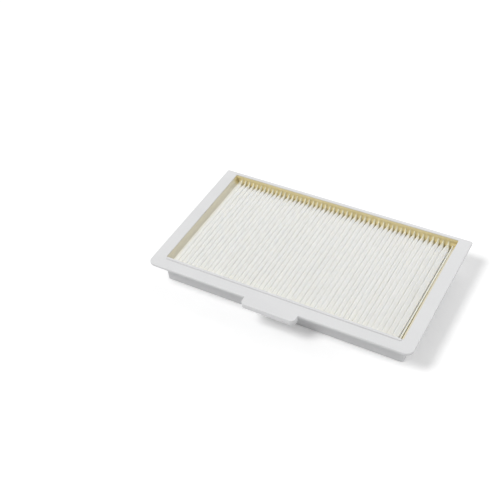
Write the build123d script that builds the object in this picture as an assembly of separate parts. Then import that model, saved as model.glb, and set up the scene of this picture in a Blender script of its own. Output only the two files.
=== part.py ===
from build123d import *
import math
import os

# Millimetres. +X runs along the length, +Y towards the edge without a tab, +Z up.
# The origin is under the middle of the whole part, on the surface that it stands on.

# Frame, outside
frame_length = 234.0
frame_width = 135.5
frame_height = 25.0
flange_thickness = 2.2
near_corner_radius = 6.0
back_corner_radius = 1.5
edge_rounding = 0.7

# Frame, from the outer edge of the flange to the outer face of the wall
end_flange = 9.0
near_flange = 10.1
back_flange = 1.4

# Frame, tub
wall = 2.0
draft_angle = 1.5
opening_corner_radius = 1.2
lip_width = 4.0
lip_thickness = 1.6
lip_corner_radius = 2.0
foot_rounding = 0.8
root_bevel = 1.0

# Bead along the near edge of the opening
bead_height = 0.6
bead_rounding = 0.25

# Pull tab, a flat tongue with a skirt round its three free sides
tab_width = 48.0
tab_reach = 7.8
tab_corner_radius = 4.0
tab_depth = 4.6
tab_wall = 1.8

# Pleated sheet
sheet_thickness = 0.42
crest_fold_radius = 0.9
crest_flat = 1.3
tip_fold_radius = 0.5
pleat_pitch = 4.17
pleat_recess = 5.5
end_gap = 5.7
end_leg_recess = 0.6
tip_clearance = 0.3
pack_side_gap = 1.3

# Largest turn of one flat, where a fold is made of flats
crest_outer_angle = 50.0
crest_inner_angle = 100.0
tip_outer_angle = 60.0
tip_inner_angle = 180.0

# Sealant between the sheet and the walls
seal_skin = 1.0
seal_bed = 2.5
seal_end_recess = 1.0
seal_top_recess = 0.5
seal_slope_height = 2.2

# Places worked out from the sizes above
part_width = frame_width + tab_reach
near_edge = -part_width / 2 + tab_reach
back_edge = part_width / 2
flange_centre = (near_edge + back_edge) / 2
flange_underside = frame_height - flange_thickness
opening_length = frame_length - 2 * (end_flange + wall)
opening_near = near_edge + near_flange + wall
opening_back = back_edge - back_flange - wall
opening_width = opening_back - opening_near
opening_centre = (opening_near + opening_back) / 2
crest_height = frame_height - pleat_recess
tip_height = lip_thickness + tip_clearance
pack_width = opening_width - 2 * pack_side_gap
pleat_count = int((opening_length - 2 * end_gap) / pleat_pitch) + 1
last_crest = pleat_pitch * (pleat_count - 1) / 2
end_leg_place = last_crest + pleat_pitch / 2 + tip_fold_radius


def inset_at(height):
    # How far the drafted walls have closed in, at a height below the flange's top.
    return (frame_height - height) * math.tan(math.radians(draft_angle))


def opening_outline(height, inset):
    # The opening's rectangle at one height, made smaller all round by an inset.
    closing = inset + inset_at(height)
    radius = max(opening_corner_radius - closing, sheet_thickness)
    with BuildSketch(Plane.XY.offset(height)) as outline:
        with Locations((0, opening_centre)):
            RectangleRounded(opening_length - 2 * closing, opening_width - 2 * closing, radius)
    return outline.sketch


def drafted_block(bottom, top, inset):
    # A block with the tub's draft, drawn at its top and narrowing on the way down.
    outline = opening_outline(top, inset)
    return extrude(outline, top - bottom, dir=(0, 0, -1), taper=draft_angle)


def upright_block(length, width, bottom, top):
    # A plain block on the opening's centre, between two heights.
    block = Box(length, width, top - bottom)
    return Pos(0, opening_centre, (bottom + top) / 2) * block


def tab_outline(inset):
    # The tab seen from above, from inside the flange to its free edge.
    reach = tab_reach + near_flange - inset
    near = near_edge - tab_reach + inset
    with BuildSketch() as outline:
        with Locations((0, near + reach / 2)):
            Rectangle(tab_width - 2 * inset, reach)
        corners = outline.vertices().group_by(Axis.Y)[0]
        fillet(corners, max(tab_corner_radius - inset, bead_rounding))
    return outline.sketch


def flange_outline():
    # The flange seen from above, without the tab.
    with BuildSketch() as outline:
        with Locations((0, flange_centre)):
            Rectangle(frame_length, frame_width)
        rows = outline.vertices().group_by(Axis.Y)
        fillet(rows[-1], back_corner_radius)
        near_corners = outline.vertices().group_by(Axis.Y)[0]
        fillet(near_corners, near_corner_radius)
    return outline.sketch


def moulded_frame():
    # One moulding: flange and tab on top of a drafted tub that is open below inside a lip.
    plate = extrude(flange_outline() + tab_outline(0), flange_thickness)
    body = Pos(0, 0, flange_underside) * plate

    # The tab's skirt is the tab made deeper, with a pocket from below that leaves its wall.
    skirt = extrude(tab_outline(0), tab_depth)
    pocket = extrude(tab_outline(tab_wall), tab_depth)
    hanging = Pos(0, 0, frame_height - tab_depth) * (skirt - pocket)
    behind = Box(frame_length, near_flange, frame_height)
    body += hanging - Pos(0, near_edge + near_flange / 2, frame_height / 2) * behind

    # Rounding of the upper outer edge, all the way round the flange and the tab.
    rim_edges = body.faces().sort_by(Axis.Z)[-1].outer_wire().edges()
    body = fillet(rim_edges, edge_rounding)

    # The tub under the flange, with the rounded foot that it stands on.
    tub = drafted_block(0, flange_underside, -wall)
    tub = fillet(tub.faces().sort_by(Axis.Z)[0].edges(), foot_rounding)
    body += tub

    # The bead stands on the wall, along the straight part of the opening's near edge.
    bead_length = opening_length - 2 * opening_corner_radius
    bead = Box(bead_length, wall, bead_height + flange_thickness)
    bead_top = bead.faces().sort_by(Axis.Z)[-1].edges()
    bead = fillet(bead_top, bead_rounding)
    bead_middle = frame_height + (bead_height - flange_thickness) / 2
    body += Pos(0, opening_near - wall / 2, bead_middle) * bead

    # The hollow above the lip, and the smaller window through the lip.
    hollow = drafted_block(lip_thickness, frame_height, 0)
    with BuildSketch() as window_outline:
        closing = lip_width + inset_at(lip_thickness)
        window_length = opening_length - 2 * closing
        window_width = opening_width - 2 * closing
        with Locations((0, opening_centre)):
            RectangleRounded(window_length, window_width, lip_corner_radius)
    window = extrude(window_outline.sketch, lip_thickness)
    body = body - hollow - window

    # Bevel in the angle between the tub and the underside of the flange.
    underside = body.faces().filter_by(Axis.Z).filter_by_position(
        Axis.Z, flange_underside - bead_rounding, flange_underside + bead_rounding
    )
    root_edges = underside.sort_by(SortBy.AREA)[-1].inner_wires()[0].edges()
    return chamfer(root_edges, root_bevel)


def fold_points(centre_x, centre_z, radius, start, sweep, flat_angle):
    # Points along one fold, from one leg to the next, as short flats.
    flats = math.ceil(abs(sweep) / flat_angle)
    points = []
    for step in range(flats + 1):
        angle = math.radians(start + sweep * step / flats)
        points.append((centre_x + radius * math.cos(angle), centre_z + radius * math.sin(angle)))
    return points


def sheet_side(outward):
    # One face of the sheet, from end to end, with tips and crests taken in turn.
    # Outward is +1 on the face that shows from above and -1 on the one below.
    # A tip is one round fold, and a crest is two rounded corners with a flat between them.
    crest_z = crest_height - crest_fold_radius - sheet_thickness / 2
    tip_z = tip_height + tip_fold_radius + sheet_thickness / 2
    tip_place = pleat_pitch / 2
    corner_place = crest_flat / 2
    across = tip_place - corner_place
    down = crest_z - tip_z
    both_radii = crest_fold_radius + tip_fold_radius
    lean = math.degrees(math.atan2(across, down) - math.asin(both_radii / math.hypot(across, down)))
    crest_radius = crest_fold_radius + outward * sheet_thickness / 2
    tip_radius = tip_fold_radius - outward * sheet_thickness / 2
    crest_angle = crest_outer_angle if outward > 0 else crest_inner_angle
    tip_angle = tip_inner_angle if outward > 0 else tip_outer_angle
    tip_turn = 180 - 2 * lean
    corner_turn = 90 - lean
    points = []
    for pleat in range(pleat_count):
        x = pleat * pleat_pitch - last_crest
        left, right = x - corner_place, x + corner_place
        points += fold_points(x - tip_place, tip_z, tip_radius, 180 + lean, tip_turn, tip_angle)
        points += fold_points(left, crest_z, crest_radius, 180 - lean, -corner_turn, crest_angle)
        points += fold_points(right, crest_z, crest_radius, 90, -corner_turn, crest_angle)
    last_tip = last_crest + tip_place
    points += fold_points(last_tip, tip_z, tip_radius, 180 + lean, tip_turn, tip_angle)

    # The sheet's two ends are legs that stand up against the sealant of the end walls.
    end_x, end_z = points[-1]
    leg_top = crest_height - end_leg_recess
    top_x = end_x + (leg_top - end_z) * math.tan(math.radians(lean))
    return [(-top_x, leg_top)] + points + [(top_x, leg_top)]


def pleated_sheet():
    # One sheet of filter paper, folded to and fro, with its folds along Y.
    outline = sheet_side(1) + sheet_side(-1)[::-1]
    section = make_face(Plane.XZ * Polyline(*outline, close=True))
    sheet = extrude(section, pack_width / 2, both=True)
    return Pos(0, opening_centre, 0) * sheet


def seal_ring(sheet):
    # Sealant poured round the four sides of the pack: a bed that the folded ends are set in
    # and that the end legs stand against, and a thin skin that runs on up the wall.
    seal_top = frame_height - seal_top_recess
    ring = drafted_block(lip_thickness, seal_top, 0)
    bed_width = opening_width - 2 * seal_bed
    end_bed_length = 2 * end_leg_place
    end_bed_top = crest_height - seal_end_recess
    skin_length = opening_length - 2 * seal_skin
    skin_width = opening_width - 2 * seal_skin
    ring -= upright_block(end_bed_length, bed_width, 0, end_bed_top)
    ring -= upright_block(skin_length, bed_width, end_bed_top, crest_height)
    slope_top = crest_height + seal_slope_height
    with BuildSketch(Plane.XY.offset(crest_height)) as slope_foot:
        with Locations((0, opening_centre)):
            Rectangle(skin_length, bed_width)
    with BuildSketch(Plane.XY.offset(slope_top)) as slope_head:
        with Locations((0, opening_centre)):
            Rectangle(skin_length, skin_width)
    ring -= loft([slope_foot.sketch, slope_head.sketch], ruled=True)
    ring -= upright_block(skin_length, skin_width, slope_top, frame_height)
    return ring - sheet


sheet = pleated_sheet()
pieces = {
    "frame": moulded_frame(),
    "pleated_media": sheet,
    "edge_seal": seal_ring(sheet),
}
os.makedirs("parts", exist_ok=True)
for name, piece in pieces.items():
    export_step(piece, f"parts/{name}.step")
    print(name, "solids", len(piece.solids()), "volume", round(piece.volume))
print("pleats", pleat_count, "size", pieces["frame"].bounding_box().size)
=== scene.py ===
# %% [markdown]
# # A pleated filter panel for clean air
#
# The object is a flat panel, 234 mm long and 25 mm deep. A white moulded frame holds a
# deep pack of folded filter paper, and a tan sealant glues the ends of the folds to the
# walls. The exact solids come packed from the CAD model, in metres, and this lesson
# dresses them: it never moves or bends them.
#
# The panel could be modelled again here from nothing, but its sizes would drift. So the
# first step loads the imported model, everything that follows is placed in the same frame,
# and a piece goes where the sizes say.

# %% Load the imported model
import math

import bpy
import numpy as np
from mathutils import Matrix, Vector


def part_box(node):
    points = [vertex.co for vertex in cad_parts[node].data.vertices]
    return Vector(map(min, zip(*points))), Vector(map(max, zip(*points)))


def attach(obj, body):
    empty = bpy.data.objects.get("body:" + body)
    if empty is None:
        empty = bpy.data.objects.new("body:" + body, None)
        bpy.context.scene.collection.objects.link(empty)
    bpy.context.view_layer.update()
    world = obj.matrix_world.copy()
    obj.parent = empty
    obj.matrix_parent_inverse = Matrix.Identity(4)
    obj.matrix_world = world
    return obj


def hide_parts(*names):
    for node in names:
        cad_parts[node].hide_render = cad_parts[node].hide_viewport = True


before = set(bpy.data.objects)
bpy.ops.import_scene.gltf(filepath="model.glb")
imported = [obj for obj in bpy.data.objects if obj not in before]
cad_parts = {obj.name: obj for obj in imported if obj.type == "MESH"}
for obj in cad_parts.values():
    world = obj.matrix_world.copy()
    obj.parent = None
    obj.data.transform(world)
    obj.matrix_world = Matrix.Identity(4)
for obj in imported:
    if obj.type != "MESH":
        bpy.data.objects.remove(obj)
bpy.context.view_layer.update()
print("solids:", sorted(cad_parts))

# %% [markdown]
# ## Sizes that the dressing needs
#
# Paper and sealant are rebuilt below with more detail than a solid needs. They have to
# meet the frame exactly, so the frame's sizes are written down once, in millimetres. The
# opening is the hole that the tub's four walls leave. The walls lean in by a degree and a
# half on the way down, as moulded walls do so that the part lets go of its tool, and
# `wall_lean` says how far a wall has come in at a given height.

# %% Sizes of the frame, in millimetres
mm = 0.001
flange_top = 25.0
wall_draft = math.radians(1.5)
opening_half = 106.0
opening_near, opening_back = -51.75, 68.25
opening_corner = 1.2


def wall_lean(height):
    return (flange_top - height) * math.tan(wall_draft)


paper_low, paper_high = [1000 * np.array(corner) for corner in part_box("pleated_media")]
print("opening, mm:", 2 * opening_half, "by", opening_back - opening_near)
print("paper solid, mm:", np.round(paper_low, 1), np.round(paper_high, 1))

# %% [markdown]
# ## A helper that turns rows of points into a mesh
#
# The paper and the sealant are both long shapes with one section that changes slowly
# along them. A curve with a bevel could sweep a section, but not change it on the way.
# A grid can: rows of points, each joined to the next row by quads. The helper can also
# close the grid round its section, round its length, or with a cap at each end.

# %% Grid helper
def strip_cap(ring, flip):
    # A ring that runs along one side of a sheet and back along the other is closed by
    # a ladder of quads between the two sides.
    half = len(ring) // 2
    there, back = ring[:half], ring[half:][::-1]
    ladder = []
    for i in range(half - 1):
        quad = [there[i], there[i + 1], back[i + 1], back[i]]
        ladder.append([int(v) for v in (quad if flip else quad[::-1])])
    return ladder


def grid_piece(name, points, close_rows, close_columns, cap_ends=False):
    # points: rows x columns x 3, in millimetres. A row is one section of the piece.
    rows, columns = points.shape[:2]
    index = np.arange(rows * columns).reshape(rows, columns)
    last_row = rows if close_rows else rows - 1
    last_column = columns if close_columns else columns - 1
    r, c = np.meshgrid(np.arange(last_row), np.arange(last_column), indexing="ij")
    r2, c2 = (r + 1) % rows, (c + 1) % columns
    quads = np.stack([index[r, c], index[r, c2], index[r2, c2], index[r2, c]], -1)
    faces = quads.reshape(-1, 4).tolist()
    if cap_ends:
        faces += strip_cap(index[0], False) + strip_cap(index[-1], True)
    mesh = bpy.data.meshes.new(name)
    mesh.from_pydata((points.reshape(-1, 3) * mm).tolist(), [], faces)
    mesh.update()
    mesh.polygons.foreach_set("use_smooth", np.ones(len(mesh.polygons), bool))
    piece = bpy.data.objects.new(name, mesh)
    bpy.context.scene.collection.objects.link(piece)
    print(name, "has", len(mesh.polygons), "faces")
    return piece


# %% [markdown]
# ## The folded paper
#
# The filter is one long sheet, folded to and fro, so its section is a wave with upright
# legs and full, round crests. A machine scores and stacks the folds, and hands then push
# the pack into the frame: no two folds are exactly as far apart, and the pack is bunched
# in one place and drawn out in another. An array of one fold would look like a radiator,
# so each fold gets a place and a height of its own from a random generator. Its seed
# keeps the result the same each run.

# %% Where each crest stands
chance = np.random.default_rng(41)
first_crest = -100.05
runs_of_folds = ((24, 4.051), (12, 4.262), (7, 3.929), (5, 4.40))
spacing = np.concatenate([np.full(folds, apart) for folds, apart in runs_of_folds])
place_spread = 0.06
mean_drop, drop_spread, deepest = -0.1, 0.08, -0.3
crest_x = first_crest + np.concatenate([[0], np.cumsum(spacing)])
crest_x[1:-1] += chance.normal(0, place_spread, len(crest_x) - 2)
crest_count = len(crest_x)
crest_drop = np.clip(chance.normal(mean_drop, drop_spread, crest_count), deepest, 0.0)
print(crest_count, "crests from", round(crest_x[0], 1), "to", round(crest_x[-1], 1), "mm")

# %% [markdown]
# The section is a line down the middle of the paper. Legs are upright and crests are
# broad, with flattened tops, because the pack is pressed together while it sets. Two
# crests leave a hair's breadth between them, so each takes half of the step to its
# neighbour. The first and the last have one free side, which springs out further.

# %% Sizes of the folds
crest, tip = 19.5, 1.9
paper_thick = 0.42
crest_gap = 0.08
crest_bow = 0.80
flatness = 0.60
free_side = 2.80
end_leg, end_leg_top = 102.25, 18.9
crest_centre = crest - crest_bow - paper_thick / 2
half_step = np.diff(crest_x) / 2 - (crest_gap + paper_thick) / 2
left_half = np.concatenate([[free_side], half_step])
right_half = np.concatenate([half_step, [free_side]])
print("narrowest and widest half crest, mm:", np.round([half_step.min(), half_step.max()], 2))

# %% [markdown]
# The line goes down a leg, round a tip, up the next leg and over a crest. A crest's top
# is a superellipse: a circle's sine and cosine raised to a power below one, which gives
# a flat top and round shoulders without a separate arc for each. For each point the
# table keeps which crest it belongs to (a half number means the tip between two), its
# place and its height.

# %% One section through the pack
def wave_section():
    rows = []
    left_legs = np.concatenate([[-end_leg], crest_x + right_half])
    right_legs = np.concatenate([crest_x - left_half, [end_leg]])
    leg_foot = tip + 1
    for share in (0.0, 0.06, 0.12, 0.3, 0.7):
        rows.append((-0.5, -end_leg, end_leg_top + (leg_foot - end_leg_top) * share))
    for k in range(crest_count + 1):
        radius = (right_legs[k] - left_legs[k]) / 2
        centre = (right_legs[k] + left_legs[k]) / 2
        low = tip + radius + paper_thick / 2
        for angle in np.linspace(math.pi, 2 * math.pi, 5):
            place = centre + radius * math.cos(angle)
            rows.append((k - 0.5, place, low + radius * math.sin(angle)))
        if k == crest_count:
            break
        for share in (0.45, 0.8, 0.93):
            height = low + (crest_centre - low) * share
            rows.append((k, crest_x[k] - left_half[k], height))
        for angle in np.linspace(math.pi, 0, 13):
            across, rise = math.cos(angle), max(math.sin(angle), 0)
            reach = left_half[k] if across < 0 else right_half[k]
            place = crest_x[k] + reach * math.copysign(abs(across) ** flatness, across)
            rows.append((k, place, crest_centre + crest_bow * rise ** flatness))
        for share in (0.07, 0.2, 0.55):
            height = crest_centre + (low - crest_centre) * share
            rows.append((k, crest_x[k] + right_half[k], height))
    for share in (0.3, 0.7, 0.88, 0.94, 1.0):
        height = leg_foot + (end_leg_top - leg_foot) * share
        rows.append((crest_count - 0.5, end_leg, height))
    return np.array(rows)


section = wave_section()
owner, middle_x, middle_z = section.T
along = np.gradient(section[:, 1:], axis=0)
along /= np.linalg.norm(along, axis=1, keepdims=True)
facing = np.stack([-along[:, 1], along[:, 0]], 1)
print("points in one section:", len(section))

# %% [markdown]
# Down the length of each fold the section hardly changes, except at the two walls. There
# the hot sealant wicked up the end of every ridge: it pinches the ridge to a pencil point
# over the last millimetres, further in at the back than at the near side, and right at
# the wall it has drawn the paper up into a thin horn. `pinch` and `climb` are 0 in the
# open and 1 at the wall. The stations along a fold stand closer together there, because
# that is where the shape changes.

# %% Stations along the folds
fold_near, fold_back = opening_near + 1.05, opening_back - 1.05
fold_length = fold_back - fold_near
end_steps = [0, 0.25, 0.5, 0.8, 1.15, 1.55, 2.0, 2.6, 3.4, 4.5, 6.0, 7.6, 9.4, 11.4]
end_steps = np.array(end_steps)
between = np.linspace(16, fold_length - 16, 13)
stations = np.concatenate([end_steps, between, fold_length - end_steps[::-1]]) + fold_near
from_wall = np.minimum(stations - fold_near, fold_back - stations)
near_taper, back_taper, horn_reach = 3.4, 10.5, 2.1
taper = np.where(stations < 0, near_taper, back_taper)
pinch = np.clip(1 - from_wall / taper, 0, 1) ** 1.65
climb = np.clip(1 - from_wall / horn_reach, 0, 1) ** 1.3
print(len(stations), "stations along each fold")

# %% [markdown]
# No crest is quite straight either. Each is the sum of three slow waves, sideways and up
# and down, with a start of its own; one noise over the whole pack would bend neighbours
# alike. Close to a wall the sealant holds the height still. The folds near the right end
# also stand a little askew, by about a millimetre over their length.

# %% Slow wander of each crest
sideways = np.zeros((len(stations), crest_count))
upwards = np.zeros((len(stations), crest_count))
askew_from, askew_over, askew_by = 60, 38, 0.95
askew = np.clip((crest_x - askew_from) / askew_over, 0, 1) ** 1.5
towards_near = (fold_back - stations) / fold_length
sideways -= askew_by * towards_near[:, None] * askew[None]
for k in range(crest_count):
    for wave, size in ((90, 0.045), (47, 0.025), (23, 0.012)):
        start = chance.uniform(0, 2 * math.pi)
        swing = np.sin(2 * math.pi * stations / wave + start)
        sideways[:, k] += size * swing
        swing = np.sin(2 * math.pi * stations / (1.3 * wave) + 2 * start)
        upwards[:, k] += 0.6 * size * swing
calm = np.clip(from_wall / 6, 0, 1)[:, None]
upwards = (upwards - upwards.max()) * calm
print("widest wander:", round(float(abs(sideways).max()), 2), "mm")

# %% [markdown]
# Each horn has a height and a lean of its own. The sheet's two cut ends stand up against
# the end walls as single legs: their top edge is fluffed by the knife, so it flares, and
# the right one leans away a little more towards the near side.

# %% Horns and end legs
mean_horn, horn_spread, lean_spread = 2.6, 0.22, 0.12
horn_height = mean_horn + np.clip(chance.normal(0, horn_spread, crest_count), -0.45, 0.35)
horn_lean = chance.normal(0, lean_spread, crest_count)
end_leg_flare, flare_depth, right_leg_slant = 0.48, 2.0, 0.9
is_end_leg = (owner < 0) | (owner > crest_count - 1)
into_flare = np.clip((middle_z - end_leg_top + flare_depth) / flare_depth, 0, 1)
flare = into_flare ** 1.2 * is_end_leg
slant = np.where(is_end_leg & (middle_x > end_leg - 0.5), right_leg_slant, 0.0)
print("horns, mm:", round(horn_height.min(), 1), "to", round(horn_height.max(), 1))

# %% [markdown]
# Now the two faces of the sheet. A point that belongs to a crest takes that crest's place
# and wander, and one in a tip takes the average of its two neighbours. Only the upper
# part of a ridge is pinched, and only its very top climbs.

# %% One face of the sheet
ridge_depth, horn_depth = 9, 2.6
pinched_away = 0.78


def per_crest(table, who):
    low = np.clip(np.floor(who), 0, crest_count - 1).astype(int)
    high = np.clip(np.ceil(who), 0, crest_count - 1).astype(int)
    return 0.5 * (table[..., low] + table[..., high])


def paper_side(offset):
    spread = offset + math.copysign(end_leg_flare, offset) * flare
    x = middle_x + spread * facing[:, 0] + per_crest(sideways, owner) * ~is_end_leg
    x = x - slant * towards_near[:, None]
    z = np.repeat((middle_z + offset * facing[:, 1])[None], len(stations), 0)
    share_up = np.clip((z - tip) / (crest - tip), 0, 1)
    z = z + share_up * (per_crest(crest_drop, owner)[None] + per_crest(upwards, owner))
    whole = (owner % 1 == 0)[None]
    centre = per_crest(crest_x, owner)[None] + per_crest(sideways, owner)
    upper = np.clip((z - (crest - ridge_depth)) / ridge_depth, 0, 1) ** 0.8 * whole
    x = centre + (x - centre) * (1 - pinched_away * pinch[:, None] * upper)
    top = np.clip((z - (crest - horn_depth)) / horn_depth, 0, 1) ** 1.4 * whole
    z = z + per_crest(horn_height, owner)[None] * climb[:, None] * top
    x = x + per_crest(horn_lean, owner)[None] * climb[:, None] * top
    y = np.repeat(stations[:, None], x.shape[1], 1)
    return np.stack([x, y, z], -1)


print("faces lie", paper_thick, "mm apart")

# %% [markdown]
# The ring of each section runs along the upper face and back along the lower one, so the
# mesh is a closed sheet with a real thickness. A flat mesh with a solidify modifier would
# cross itself in the tight folds.

# %% Build the folded paper
upper_side = paper_side(paper_thick / 2)
lower_side = paper_side(-paper_thick / 2)
sections = np.concatenate([upper_side, lower_side[:, ::-1]], 1)
paper = grid_piece("folded_paper", sections, False, True, cap_ends=True)
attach(paper, "root")
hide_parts("pleated_media")

# %% [markdown]
# ## The poured sealant
#
# The sealant is poured hot round the edge of the pack. It fills the gap between the paper
# and the wall, coves out to the ends of the folds, and climbs the wall in a thin skin that
# stops just under the flange with a soft edge. Cutting that out of a block would take many
# steps. It is easier as a ring with one section for the long sides and another for the
# ends, where it is thinner and sets lower behind the last fold. In the corners the one
# section turns gradually into the other.

# %% The two sections of the sealant
# Each point is (distance in from the wall, height), starting at the foot of the wall.
side_section = np.array([
    (0.0, 1.6), (0.0, 12.0), (0.0, 20.0), (0.0, 24.3), (0.25, 24.5), (0.6, 24.42),
    (0.86, 24.05), (0.96, 23.2), (1.0, 22.2), (1.08, 21.4), (1.3, 20.6), (1.68, 19.9),
    (2.1, 19.35), (2.4, 18.7), (2.5, 17.6), (2.5, 14.0), (2.5, 8.0), (2.5, 1.6),
])
end_section = np.array([
    (0.0, 1.6), (0.0, 12.0), (0.0, 20.0), (0.0, 24.3), (0.10, 24.45), (0.24, 24.42),
    (0.36, 24.1), (0.42, 23.4), (0.46, 22.4), (0.56, 21.2), (0.80, 20.2), (1.25, 19.4),
    (1.85, 18.9), (2.5, 18.6), (3.1, 18.4), (3.5, 18.1), (3.5, 10.0), (3.5, 1.6),
])
print("section points:", len(side_section), len(end_section))

# %% [markdown]
# The ring's path is the opening's own outline, walked once round. For each step the
# helper gives the spot on the outline, the way inwards, and how much of the end section
# counts. Steps are short along the folds' ends, where the sealant is scalloped, and
# longer along the plain end walls.

# %% Walk round the opening
corner_steps = 9
end_wall_step, side_wall_step = 1.2, 0.42
straight_x = opening_half - opening_corner
low_y, high_y = opening_near + opening_corner, opening_back - opening_corner
corners = [
    (straight_x, low_y, -90), (straight_x, high_y, 0),
    (-straight_x, high_y, 90), (-straight_x, low_y, 180),
]


def on_corner(cx, cy, turn):
    return cx + opening_corner * math.cos(turn), cy + opening_corner * math.sin(turn)


def opening_walk():
    spots, inward, end_share = [], [], []
    for number, (cx, cy, start) in enumerate(corners):
        into_end = number % 2 == 0
        for step in range(corner_steps):
            turn = math.radians(start + 90 * step / corner_steps)
            spots.append(on_corner(cx, cy, turn))
            inward.append((-math.cos(turn), -math.sin(turn)))
            share = step / corner_steps
            end_share.append(share if into_end else 1 - share)
        turn = math.radians(start + 90)
        nx, ny = corners[(number + 1) % 4][:2]
        a, b = np.array(on_corner(cx, cy, turn)), np.array(on_corner(nx, ny, turn))
        step_length = end_wall_step if into_end else side_wall_step
        steps = int(np.linalg.norm(b - a) / step_length)
        for step in range(steps):
            spots.append(tuple(a + (b - a) * step / steps))
            inward.append((-math.cos(turn), -math.sin(turn)))
            end_share.append(1.0 if into_end else 0.0)
    return np.array(spots), np.array(inward), np.array(end_share)


walk, inward, end_share = opening_walk()
print("steps round the opening:", len(walk))

# %% [markdown]
# The sealant isn't even. Its upper edge wanders by a tenth of a millimetre, and between
# two folds it sags back towards the wall, while it clings to the end of each fold. That
# scalloped edge makes the row of small dark notches along the wall, so it is shaped in
# the mesh; a bump in the material would cast no shade into the notches.

# %% Wander and sag
to_next = np.linalg.norm(np.diff(walk, axis=0), axis=1)
length_along = np.concatenate([[0], np.cumsum(to_next)])
total_length = length_along[-1] + np.linalg.norm(walk[0] - walk[-1])
edge_wander = np.zeros(len(walk))
for waves, size in ((7, 0.05), (19, 0.04), (43, 0.03), (101, 0.015)):
    turns = 2 * math.pi * waves * length_along / total_length
    edge_wander += size * np.sin(turns + chance.uniform(0, 6.28))
from_fold = np.abs(walk[:, 0][:, None] - crest_x[None]).min(1)
fold_end, to_full_sag = 0.55, 1.3
sag = (1 - end_share) * np.clip((from_fold - fold_end) / to_full_sag, 0, 1)
print("edge wanders by", round(float(np.ptp(edge_wander)), 2), "mm")

# %% [markdown]
# The ring follows the wall's lean, and in the corners it is kept inside the lines that
# its straight runs make, because the sealant is thicker than the corner is round and its
# inner points would cross over.

# %% Build the sealant
edge_from, highest_edge = 22.5, 0.1
notch_height, notch_spread, notch_depth = 19.2, 2.3, 0.95
share = end_share[:, None, None]
rings = side_section[None] * (1 - share) + end_section[None] * share
depth, level = rings[..., 0].copy(), rings[..., 1].copy()
near_top = np.clip((level - edge_from) / 1.5, 0, 1)
level += np.minimum(edge_wander, highest_edge)[:, None] * near_top
notch = np.exp(-((level - notch_height) / notch_spread) ** 2) * (depth > 1.02)
depth -= sag[:, None] * notch * notch_depth
reach = np.maximum(depth, wall_lean(level))
ring = np.empty(rings.shape[:2] + (3,))
ring[..., :2] = walk[:, None] + inward[:, None] * reach[..., None]
ring[..., 0] = np.clip(ring[..., 0], reach - opening_half, opening_half - reach)
ring[..., 1] = np.clip(ring[..., 1], opening_near + reach, opening_back - reach)
ring[..., 2] = level
sealant = grid_piece("poured_sealant", ring[:, ::-1], True, True)
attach(sealant, "root")
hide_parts("edge_seal")

# %% [markdown]
# ## A small kit for materials
#
# Every finish below is a handful of the same nodes: noise in the object's own space, a
# ramp that turns the noise into a little colour, and a bump. Wired by hand, each finish
# would fill a screen, so a kit keeps them short to read. Coordinates are the object's
# own, in metres, so a noise scale of 1000 has features about a millimetre across.

# %% Kit: a finish and its noise
def finish(name, roughness, specular=0.5):
    material = bpy.data.materials.new(name)
    material.use_nodes = True
    nodes = material.node_tree.nodes
    shader = nodes["Principled BSDF"]
    shader.inputs["Roughness"].default_value = roughness
    shader.inputs["Specular IOR Level"].default_value = specular
    place = nodes.new("ShaderNodeTexCoord")
    return material, shader, place.outputs["Object"]


def wire(material, a, b):
    material.node_tree.links.new(a, b)


def stretched(material, place, x, y, z):
    node = material.node_tree.nodes.new("ShaderNodeMapping")
    node.inputs["Scale"].default_value = (x, y, z)
    wire(material, place, node.inputs["Vector"])
    return node.outputs["Vector"]


def noise(material, place, scale, detail=4.0, rough=0.55):
    node = material.node_tree.nodes.new("ShaderNodeTexNoise")
    node.inputs["Scale"].default_value = scale
    node.inputs["Detail"].default_value = detail
    node.inputs["Roughness"].default_value = rough
    wire(material, place, node.inputs["Vector"])
    return node.outputs["Fac"]


print("kit: finish, wire, stretched, noise")

# %% [markdown]
# `maths` combines two values, `along_axes` gives the place along each axis, and
# `blend_colours` mixes two colours by a share.

# %% Kit: ramps and blends
def span(material, value, low, high, to_low=0.0, to_high=1.0):
    node = material.node_tree.nodes.new("ShaderNodeMapRange")
    node.interpolation_type = "SMOOTHSTEP"
    wire(material, value, node.inputs["Value"])
    ends = (("From Min", low), ("From Max", high), ("To Min", to_low), ("To Max", to_high))
    for key, number in ends:
        node.inputs[key].default_value = number
    return node.outputs["Result"]


def maths(material, kind, *values):
    node = material.node_tree.nodes.new("ShaderNodeMath")
    node.operation = kind
    for socket, value in zip(node.inputs, values):
        if isinstance(value, (int, float)):
            socket.default_value = value
        else:
            wire(material, value, socket)
    return node.outputs["Value"]


def along_axes(material, place):
    node = material.node_tree.nodes.new("ShaderNodeSeparateXYZ")
    wire(material, place, node.inputs["Vector"])
    return node.outputs["X"], node.outputs["Y"], node.outputs["Z"]


def blend_colours(material, share, first, second):
    node = material.node_tree.nodes.new("ShaderNodeMix")
    node.data_type = "RGBA"
    wire(material, share, node.inputs["Factor"])
    for socket, value in ((node.inputs["A"], first), (node.inputs["B"], second)):
        if isinstance(value, tuple):
            socket.default_value = value + (1.0,)
        else:
            wire(material, value, socket)
    return node.outputs["Result"]


print("kit: span, maths, along_axes, blend_colours")

# %% [markdown]
# The last two raise a bump in millimetres, one layer over the other, and put a finished
# material on a piece.

# %% Kit: bumps and dressing
def raised(material, shader, heights):
    # heights: (value, millimetres) pairs, laid one over the other.
    previous = None
    for value, size in heights:
        node = material.node_tree.nodes.new("ShaderNodeBump")
        node.inputs["Distance"].default_value = size * mm
        wire(material, value, node.inputs["Height"])
        if previous is not None:
            wire(material, previous, node.inputs["Normal"])
        previous = node.outputs["Normal"]
    wire(material, previous, shader.inputs["Normal"])


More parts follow.
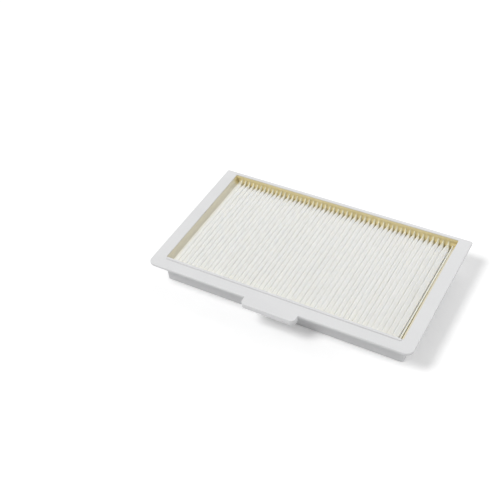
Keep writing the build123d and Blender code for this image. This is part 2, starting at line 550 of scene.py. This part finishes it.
def dress(piece, material):
    piece.data.materials.clear()
    piece.data.materials.append(material)
    print(piece.name, "dressed in", material.name)


print("kit: raised, dress")

# %% [markdown]
# ## Moulded plastic of the frame
#
# The frame is a white engineering plastic with a fine spark-eroded grain: matt from afar,
# with a soft sheen on its rounded edges. One flat white would look like paper. So it gets
# a low, broad highlight, a speck about a millimetre across, a much finer grain over it,
# and a barely visible drift in tone where the plastic flowed.

# %% Frame material
plastic, shader, place = finish("moulded_white_plastic", 0.46, 0.42)
flow = noise(plastic, stretched(plastic, place, 14, 40, 40), 1.0, 3.0)
speck = noise(plastic, place, 900, 3.0)
drift = span(plastic, flow, 0.35, 0.65)
tone = blend_colours(plastic, drift, (0.696, 0.698, 0.704), (0.720, 0.722, 0.727))
speckle = span(plastic, speck, 0.3, 0.75, 0.0, 0.35)
tone = blend_colours(plastic, speckle, tone, (0.744, 0.746, 0.750))
wire(plastic, span(plastic, speck, 0.3, 0.7, 0.42, 0.52), shader.inputs["Roughness"])
grain = noise(plastic, place, 3200, 2.0, 0.6)
raised(plastic, shader, [(grain, 0.010), (speck, 0.012)])
dress(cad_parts["frame"], plastic)

# %% [markdown]
# The bead's outer side stands in shade, so a thin grey line of painted shade is drawn in the
# angle at the foot of the bead, on the flange's side. It is a tone in the material: it is
# kept to the flange's top, to half a millimetre beside the bead and to the bead's own length.

# %% Painted shade at the foot of the bead
bead_foot, bead_end = -54.0 * mm, 104.5 * mm
px, py, pz = along_axes(plastic, place)
from_foot = maths(plastic, "ABSOLUTE", maths(plastic, "SUBTRACT", py, bead_foot))
beside = span(plastic, from_foot, 0.45 * mm, 0.10 * mm)
on_top = span(plastic, pz, 24.85 * mm, 24.95 * mm)
lengthwise = maths(plastic, "ABSOLUTE", px)
by_bead = span(plastic, lengthwise, bead_end + 0.3 * mm, bead_end - 0.3 * mm)
# painted shade: a thin grey line on the flange beside the bead's foot
painted_shade = maths(plastic, "MULTIPLY", maths(plastic, "MULTIPLY", beside, on_top), by_bead)
painted_shade_weight = maths(plastic, "MULTIPLY", painted_shade, 0.40)
tone = blend_colours(plastic, painted_shade_weight, tone, (0.50, 0.50, 0.50))
wire(plastic, tone, shader.inputs["Base Color"])
print("dust line at y", bead_foot, "m")

# %% [markdown]
# ## Filter paper
#
# Filter paper is a felt of very fine glass or polymer fibres: dead matt, bright, and thin
# enough that light leaks through each leg into the next groove. That leak is why real
# pleats look so even, with hardly any dark between them. A brighter colour alone would
# burn out the crests, so a little subsurface scattering gives it, and painted light makes
# the paper whiter down in the grooves than on the crests.

# %% Paper material
felt, shader, place = finish("filter_paper", 0.95, 0.12)
px, py, pz = along_axes(felt, place)
fibres = noise(felt, stretched(felt, place, 2600, 700, 2600), 1.0, 4.0, 0.7)
cloud = noise(felt, place, 160, 4.0)
patches = span(felt, cloud, 0.3, 0.7)
white = blend_colours(felt, patches, (0.850, 0.840, 0.775), (0.870, 0.860, 0.795))
fibrous = span(felt, fibres, 0.25, 0.75, 0.0, 0.3)
white = blend_colours(felt, fibrous, white, (0.89, 0.887, 0.855))
# painted light: the paper is made whiter below the crests, standing in for light in the
# grooves
painted_groove_light = span(felt, pz, 19.2 * mm, 18.3 * mm)
white = blend_colours(felt, painted_groove_light, white, (0.97, 0.965, 0.94))
shader.inputs["Subsurface Weight"].default_value = 0.8
shader.inputs["Subsurface Radius"].default_value = (1.0, 0.95, 0.85)
shader.inputs["Subsurface Scale"].default_value = 0.0012
raised(felt, shader, [(fibres, 0.02), (cloud, 0.02)])
dress(paper, felt)

# %% [markdown]
# Close to the walls the sealant has soaked in and stained the paper cream, most of all in
# the horns. The stain is a ramp towards each wall, broken up by the same cloudy noise so
# that it has no straight edge. The cut legs at the two ends are a duller cream.

# %% Stain in the paper
near_wall = maths(
    felt, "MAXIMUM",
    span(felt, py, (opening_back - 10.0) * mm, (opening_back - 1.5) * mm),
    span(felt, py, (opening_near + 6.0) * mm, (opening_near + 1.2) * mm),
)
ragged = maths(felt, "MULTIPLY", maths(felt, "SUBTRACT", cloud, 0.5), 0.35)
soaked = span(felt, maths(felt, "ADD", near_wall, ragged), 0.0, 1.0)
stain = maths(felt, "MULTIPLY", soaked, 0.75)
stained = blend_colours(felt, stain, white, (0.880, 0.800, 0.540))
lengthwise = maths(felt, "ABSOLUTE", px)
at_end = span(felt, lengthwise, 100.5 * mm, 101.2 * mm, 0.0, 0.8)
stained = blend_colours(felt, at_end, stained, (0.770, 0.755, 0.660))
wire(felt, stained, shader.inputs["Base Color"])
print("stain reaches in 10 mm from the back wall and 6 mm from the near wall")

# %% [markdown]
# ## Sealant
#
# The sealant is a hot-melt glue: tan and waxy, with faint streaks where it cooled along
# the pour, so its noise is stretched along the wall. Its top edge, where it feathers out
# against the wall under the flange, is darker: that is painted shade. On the two end walls
# it is so thin that the white plastic shows through, and it is paler there. One plain tan
# would hide all three.

# %% Sealant material
wax, shader, place = finish("tan_sealant", 0.38, 0.45)
px, py, pz = along_axes(wax, place)
streak = noise(wax, stretched(wax, place, 120, 120, 700), 1.0, 4.0)
blotch = noise(wax, place, 260, 3.0)
streaks = span(wax, streak, 0.3, 0.7)
body = blend_colours(wax, streaks, (0.655, 0.555, 0.285), (0.710, 0.608, 0.328))
blotches = span(wax, blotch, 0.35, 0.75, 0.0, 0.5)
body = blend_colours(wax, blotches, body, (0.750, 0.660, 0.385))
# painted shade: the tan darkens towards its top edge, under the flange
painted_top_shade = span(wax, pz, 23.5 * mm, 24.6 * mm, 0.0, 0.7)
body = blend_colours(wax, painted_top_shade, body, (0.560, 0.475, 0.245))
end_wall = span(wax, maths(wax, "ABSOLUTE", px), 102.2 * mm, 103.4 * mm)
clear_of_back = span(wax, py, 65.5 * mm, 60.0 * mm)
thin = maths(wax, "MULTIPLY", maths(wax, "MULTIPLY", end_wall, clear_of_back), 0.8)
body = blend_colours(wax, thin, body, (0.700, 0.680, 0.600))
wire(wax, body, shader.inputs["Base Color"])
wire(wax, span(wax, blotch, 0.3, 0.7, 0.32, 0.46), shader.inputs["Roughness"])
raised(wax, shader, [(streak, 0.10), (blotch, 0.06)])
dress(sealant, wax)

# %% [markdown]
# ## What the eye sees
#
# The panel stands in front of plain white. More light would make floor and sky white, but
# it would burn out the panel too. Instead floor and sky ask where a ray comes from:
# `eye_share` is 1 for a ray from the camera, from a mirror or through glass, and 0 for
# the light that bounces about. They turn white only for the first.

# %% Share of rays that end in the eye
def eye_share(tree):
    rays = tree.nodes.new("ShaderNodeLightPath")
    share = rays.outputs["Is Camera Ray"]
    for kind in ("Is Glossy Ray", "Is Transmission Ray"):
        either = tree.nodes.new("ShaderNodeMath")
        either.operation = "MAXIMUM"
        tree.links.new(share, either.inputs[0])
        tree.links.new(rays.outputs[kind], either.inputs[1])
        share = either.outputs[0]
    return share


print("helper ready")

# %% [markdown]
# ## Floor
#
# The panel lies on a white table that runs out of sight. To the eye the floor adds a
# little light of its own, so that bare floor reads as pure white while the panel's own
# soft shadow still darkens it. Far from the panel, where no shadow falls, it is plain
# white, so that no grey horizon shows from low down. Other rays meet a pale floor, and
# the panel gets only the light that such a table would send back.

# %% White floor
floor_material = bpy.data.materials.new("white_floor")
floor_material.use_nodes = True
tree = floor_material.node_tree
tree.nodes.clear()


def floor_shader(kind, level, strength=None):
    node = tree.nodes.new(kind)
    node.inputs["Color"].default_value = (level, level, level, 1)
    if strength is not None:
        node.inputs["Strength"].default_value = strength
    return node.outputs[0]


def floor_mix(share, first, second):
    node = tree.nodes.new("ShaderNodeMixShader")
    for socket, source in zip(node.inputs, (share, first, second)):
        tree.links.new(source, socket)
    return node.outputs[0]


table = floor_shader("ShaderNodeBsdfDiffuse", 0.80)
bright = tree.nodes.new("ShaderNodeAddShader")
tree.links.new(floor_shader("ShaderNodeBsdfDiffuse", 1.0), bright.inputs[0])
tree.links.new(floor_shader("ShaderNodeEmission", 1.0, 0.12), bright.inputs[1])
pure_white = floor_shader("ShaderNodeEmission", 1.0, 1.0)
seen = eye_share(tree)

# %% [markdown]
# The floor is put together from three shaders: the table, the brighter table that the eye
# sees, and the pure white that takes over between 0.45 and 0.90 m from the middle.

# %% Put the floor together
white_from, white_to = 0.45, 0.90
from_middle = tree.nodes.new("ShaderNodeVectorMath")
from_middle.operation = "LENGTH"
spot = tree.nodes.new("ShaderNodeTexCoord")
tree.links.new(spot.outputs["Object"], from_middle.inputs[0])
far = tree.nodes.new("ShaderNodeMapRange")
far.inputs["From Min"].default_value = white_from
far.inputs["From Max"].default_value = white_to
tree.links.new(from_middle.outputs["Value"], far.inputs["Value"])
far_seen = maths(floor_material, "MULTIPLY", far.outputs["Result"], seen)
near_floor = floor_mix(seen, table, bright.outputs[0])
out = tree.nodes.new("ShaderNodeOutputMaterial")
tree.links.new(floor_mix(far_seen, near_floor, pure_white), out.inputs["Surface"])
bpy.ops.mesh.primitive_plane_add(size=6.0, location=(0, 0, 0))
floor = bpy.context.object
floor.name = "floor"
floor.data.materials.append(floor_material)
print("floor is", tuple(round(v, 2) for v in floor.dimensions))

# %% [markdown]
# ## Lamps
#
# One broad soft lamp high on the left does nearly all the work: it gives the soft shadow
# on the right and a gentle fall of light across the pleats. A smaller lamp would cut the
# shadow's edge too sharp. Two weak, low lamps behind and to the right lift the sides that
# the first one leaves flat. All are kept at a level at which a colour renders about as it
# is written.

# %% Soft lamps
def soft_lamp(name, spot, size, power):
    lamp = bpy.data.lights.new(name, "AREA")
    lamp.shape = "DISK"
    lamp.size = size
    lamp.energy = power
    holder = bpy.data.objects.new(name, lamp)
    bpy.context.scene.collection.objects.link(holder)
    holder.location = spot
    towards_panel = -Vector(spot)
    holder.rotation_euler = towards_panel.to_track_quat("-Z", "Y").to_euler()
    print(name, power, "W")


soft_lamp("key_lamp", (-1.55, -1.46, 3.00), 1.60, 80.0)
soft_lamp("back_fill", (0.20, 0.80, 0.66), 1.00, 3.2)
soft_lamp("side_fill", (2.00, 0.30, 0.52), 0.90, 8.0)

# %% [markdown]
# ## World
#
# The world fills the shade evenly from all sides, as a bright room does. To the eye it is
# pure white, strength 1, and to the light that bounces about it is only `room_light`.

# %% White world
room_light = 0.36
world = bpy.data.worlds.new("studio")
bpy.context.scene.world = world
world.use_nodes = True
sky = world.node_tree.nodes["Background"]
sky.inputs["Color"].default_value = (1, 1, 1, 1)
sky_level = world.node_tree.nodes.new("ShaderNodeMapRange")
sky_level.inputs["To Min"].default_value = room_light
sky_level.inputs["To Max"].default_value = 1.0
world.node_tree.links.new(eye_share(world.node_tree), sky_level.inputs["Value"])
world.node_tree.links.new(sky_level.outputs["Result"], sky.inputs["Strength"])
print("room light", room_light)

# %% [markdown]
# ## Camera
#
# The camera stands at the near right, well above the panel, turned by about five degrees
# about its own line of sight. Its place and lens come from measuring straight edges of
# the real panel as they were seen, so the panel fills the same part of the frame. Aiming
# it at a point would lose that turn, so its axes are worked out and set directly.

# %% Camera
azimuth, elevation = math.radians(32.78), math.radians(43.21)
roll = math.radians(-5.41)
away = Vector((
    math.cos(elevation) * math.sin(azimuth),
    -math.cos(elevation) * math.cos(azimuth),
    math.sin(elevation),
))
right = Vector((math.cos(azimuth), math.sin(azimuth), 0))
up = away.cross(right)
turned_right = right * math.cos(roll) + up * math.sin(roll)
turned_up = -right * math.sin(roll) + up * math.cos(roll)
lens = bpy.data.cameras.new("camera")
lens.lens = 65.6
lens.sensor_width = 36.0
lens.clip_start = 0.01
camera = bpy.data.objects.new("camera", lens)
bpy.context.scene.collection.objects.link(camera)
camera.matrix_world = Matrix((
    (turned_right.x, turned_up.x, away.x, 0.2550),
    (turned_right.y, turned_up.y, away.y, -0.4823),
    (turned_right.z, turned_up.z, away.z, 0.5472),
    (0, 0, 0, 1),
))
bpy.context.scene.camera = camera
print("camera at", [round(v, 3) for v in camera.matrix_world.translation])

# %% [markdown]
#
# The view transform is Standard, so that a colour comes out as written.

# %% Finish
bpy.context.scene.view_settings.view_transform = "Standard"
